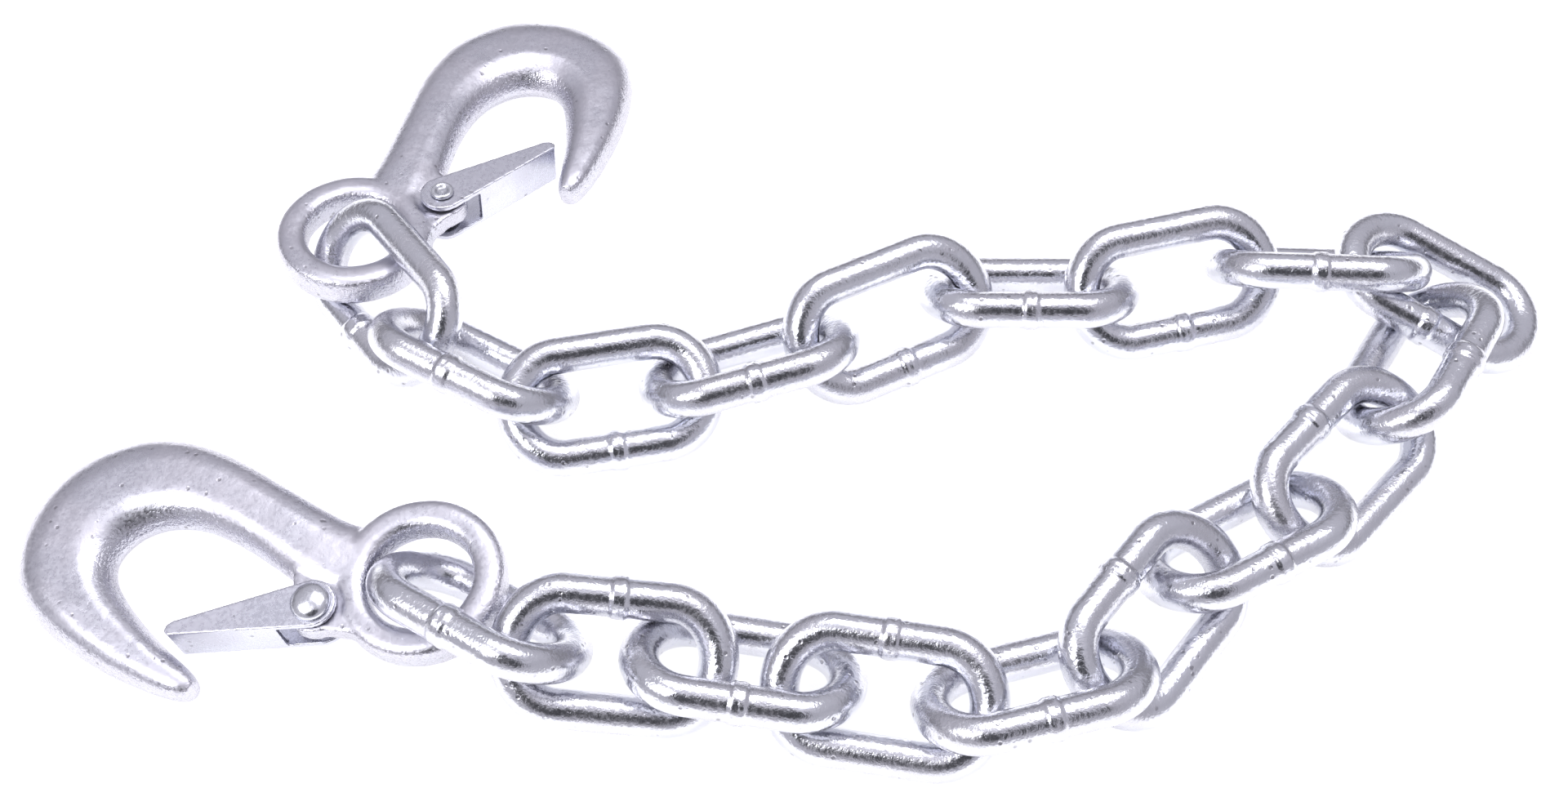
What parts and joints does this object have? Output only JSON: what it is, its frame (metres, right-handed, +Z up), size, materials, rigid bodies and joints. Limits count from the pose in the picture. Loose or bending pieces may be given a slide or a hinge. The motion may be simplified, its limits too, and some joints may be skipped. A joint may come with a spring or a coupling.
{
  "type": "safety chain hook",
  "caption": "Trailer safety chain of twisted welded links, with a forged eye slip hook and a sprung pressed latch hinged on a riveted pin at each end.",
  "frame": {"origin": "middle of the bounding box in plan, at the level of the ground the chain lies on", "axes": "+X along the long side of the laid-out chain, away from the hooks; +Y towards the end whose hook is upper in plan; +Z up from the ground"},
  "size_m": [0.3206, 0.2016, 0.027],
  "materials": {
    "hook_zinc": "satin",
    "chain_zinc": "polished",
    "latch_zinc": "satin",
    "pin_zinc": "polished",
    "spring_zinc": "polished"
  },
  "bodies": {
    "hook_1": {"hook_1": "hook_zinc", "latch_pin_1": "pin_zinc", "latch_spring_1": "spring_zinc"},
    "latch_1": {"latch_1": "latch_zinc"},
    "link_01": {"link_01": "chain_zinc"},
    "link_02": {"link_02": "chain_zinc"},
    "link_03": {"link_03": "chain_zinc"},
    "link_04": {"link_04": "chain_zinc"},
    "link_05": {"link_05": "chain_zinc"},
    "link_06": {"link_06": "chain_zinc"},
    "link_07": {"link_07": "chain_zinc"},
    "link_08": {"link_08": "chain_zinc"},
    "link_09": {"link_09": "chain_zinc"},
    "link_10": {"link_10": "chain_zinc"},
    "link_11": {"link_11": "chain_zinc"},
    "link_12": {"link_12": "chain_zinc"},
    "link_13": {"link_13": "chain_zinc"},
    "link_14": {"link_14": "chain_zinc"},
    "link_15": {"link_15": "chain_zinc"},
    "link_16": {"link_16": "chain_zinc"},
    "link_17": {"link_17": "chain_zinc"},
    "link_18": {"link_18": "chain_zinc"},
    "hook_2": {"hook_2": "hook_zinc", "latch_pin_2": "pin_zinc", "latch_spring_2": "spring_zinc"},
    "latch_2": {"latch_2": "latch_zinc"}
  },
  "joints": [
    {"name": "link_01_swing", "type": "hinge", "parent": "hook_1", "child": "link_01", "pos_m": [-0.09427, 0.01655, 0.01219], "axis": [0.881, 0.4687, -0.0639], "range_deg": [-13.5, 0]},
    {"name": "link_02_swing", "type": "hinge", "parent": "link_01", "child": "link_02", "pos_m": [-0.08897, 0.00394, 0.01192], "axis": [-0.4133, -0.6445, 0.6432], "range_deg": [-44.6, 44.6]},
    {"name": "link_03_swing", "type": "hinge", "parent": "link_02", "child": "link_03", "pos_m": [-0.05386, -0.00886, 0.00574], "axis": [0.3966, -0.8192, 0.4142], "range_deg": [-1.5, 44.6]},
    {"name": "link_04_swing", "type": "hinge", "parent": "link_03", "child": "link_04", "pos_m": [-0.03079, -0.0037, 0.00522], "axis": [-0.5428, -0.7818, 0.307], "range_deg": [-1.5, 44.6]},
    {"name": "link_05_swing", "type": "hinge", "parent": "link_04", "child": "link_05", "pos_m": [0.00531, 0.00214, 0.01162], "axis": [-0.473, 0.6999, -0.5352], "range_deg": [-44.6, 44.6]},
    {"name": "link_06_swing", "type": "hinge", "parent": "link_05", "child": "link_06", "pos_m": [0.02761, 0.01161, 0.01199], "axis": [0.1664, -0.8437, 0.5103], "range_deg": [-19.6, 44.6]},
    {"name": "link_07_swing", "type": "hinge", "parent": "link_06", "child": "link_07", "pos_m": [0.06744, 0.00949, 0.01382], "axis": [-0.3291, -0.811, 0.4837], "range_deg": [-44.6, 19.6]},
    {"name": "link_08_swing", "type": "hinge", "parent": "link_07", "child": "link_08", "pos_m": [0.09119, 0.02073, 0.01121], "axis": [-0.2411, -0.6658, 0.7061], "range_deg": [-44.6, 44.6]},
    {"name": "link_09_swing", "type": "hinge", "parent": "link_08", "child": "link_09", "pos_m": [0.12563, 0.00889, 0.01746], "axis": [0.7395, 0.4499, -0.5007], "range_deg": [0, 11.6]},
    {"name": "link_10_swing", "type": "hinge", "parent": "link_09", "child": "link_10", "pos_m": [0.14144, -0.00115, 0.00897], "axis": [-0.8826, 0.4014, 0.2446], "range_deg": [-8.6, 44.6]},
    {"name": "link_11_swing", "type": "hinge", "parent": "link_10", "child": "link_11", "pos_m": [0.11504, -0.01971, 0.00816], "axis": [0.3248, -0.7806, 0.534], "range_deg": [-44.6, 5.6]},
    {"name": "link_12_swing", "type": "hinge", "parent": "link_11", "child": "link_12", "pos_m": [0.09324, -0.03805, 0.0131], "axis": [0.1319, 0.9369, 0.3238], "range_deg": [-44.6, 1.5]},
    {"name": "link_13_swing", "type": "hinge", "parent": "link_12", "child": "link_13", "pos_m": [0.08241, -0.06345, 0.01472], "axis": [0.9861, -0.0232, -0.1646], "range_deg": [-11.6, 1.5]},
    {"name": "link_14_swing", "type": "hinge", "parent": "link_13", "child": "link_14", "pos_m": [0.05756, -0.08602, 0.00752], "axis": [0.8483, -0.1994, -0.4905], "range_deg": [-44.6, 5.6]},
    {"name": "link_15_swing", "type": "hinge", "parent": "link_14", "child": "link_15", "pos_m": [0.03046, -0.0943, 0.00762], "axis": [0.6628, 0.5996, 0.4486], "range_deg": [-8.6, 35.6]},
    {"name": "link_16_swing", "type": "hinge", "parent": "link_15", "child": "link_16", "pos_m": [-0.00567, -0.08727, 0.00633], "axis": [-0.4193, 0.8099, 0.4101], "range_deg": [-8.6, 44.6]},
    {"name": "link_17_swing", "type": "hinge", "parent": "link_16", "child": "link_17", "pos_m": [-0.02286, -0.06774, 0.0064], "axis": [0.9279, 0.3402, 0.1524], "range_deg": [-8.6, 1.5]},
    {"name": "link_18_swing", "type": "hinge", "parent": "link_17", "child": "link_18", "pos_m": [-0.05885, -0.07656, 0.01344], "axis": [-0.4844, -0.6455, -0.5905], "range_deg": [-44.6, 44.6]},
    {"name": "hook_2_swing", "type": "hinge", "parent": "link_18", "child": "hook_2", "pos_m": [-0.08543, -0.05589, 0.01235], "axis": [-0.8598, 0.4991, 0.108], "range_deg": [-44.6, 1.5]},
    {"name": "latch_1_open", "type": "hinge", "parent": "hook_1", "child": "latch_1", "pos_m": [-0.08218, 0.03887, 0.01041], "axis": [0.0413, 0.0585, 0.9974], "range_deg": [0, 36], "stiffness_Nm_per_rad": 0.02, "springref_deg": -28.65},
    {"name": "latch_2_open", "type": "hinge", "parent": "hook_2", "child": "latch_2", "pos_m": [-0.09739, -0.06635, 0.01044], "axis": [0.0939, 0.121, -0.9882], "range_deg": [0, 36], "stiffness_Nm_per_rad": 0.02, "springref_deg": -28.65}
  ]
}
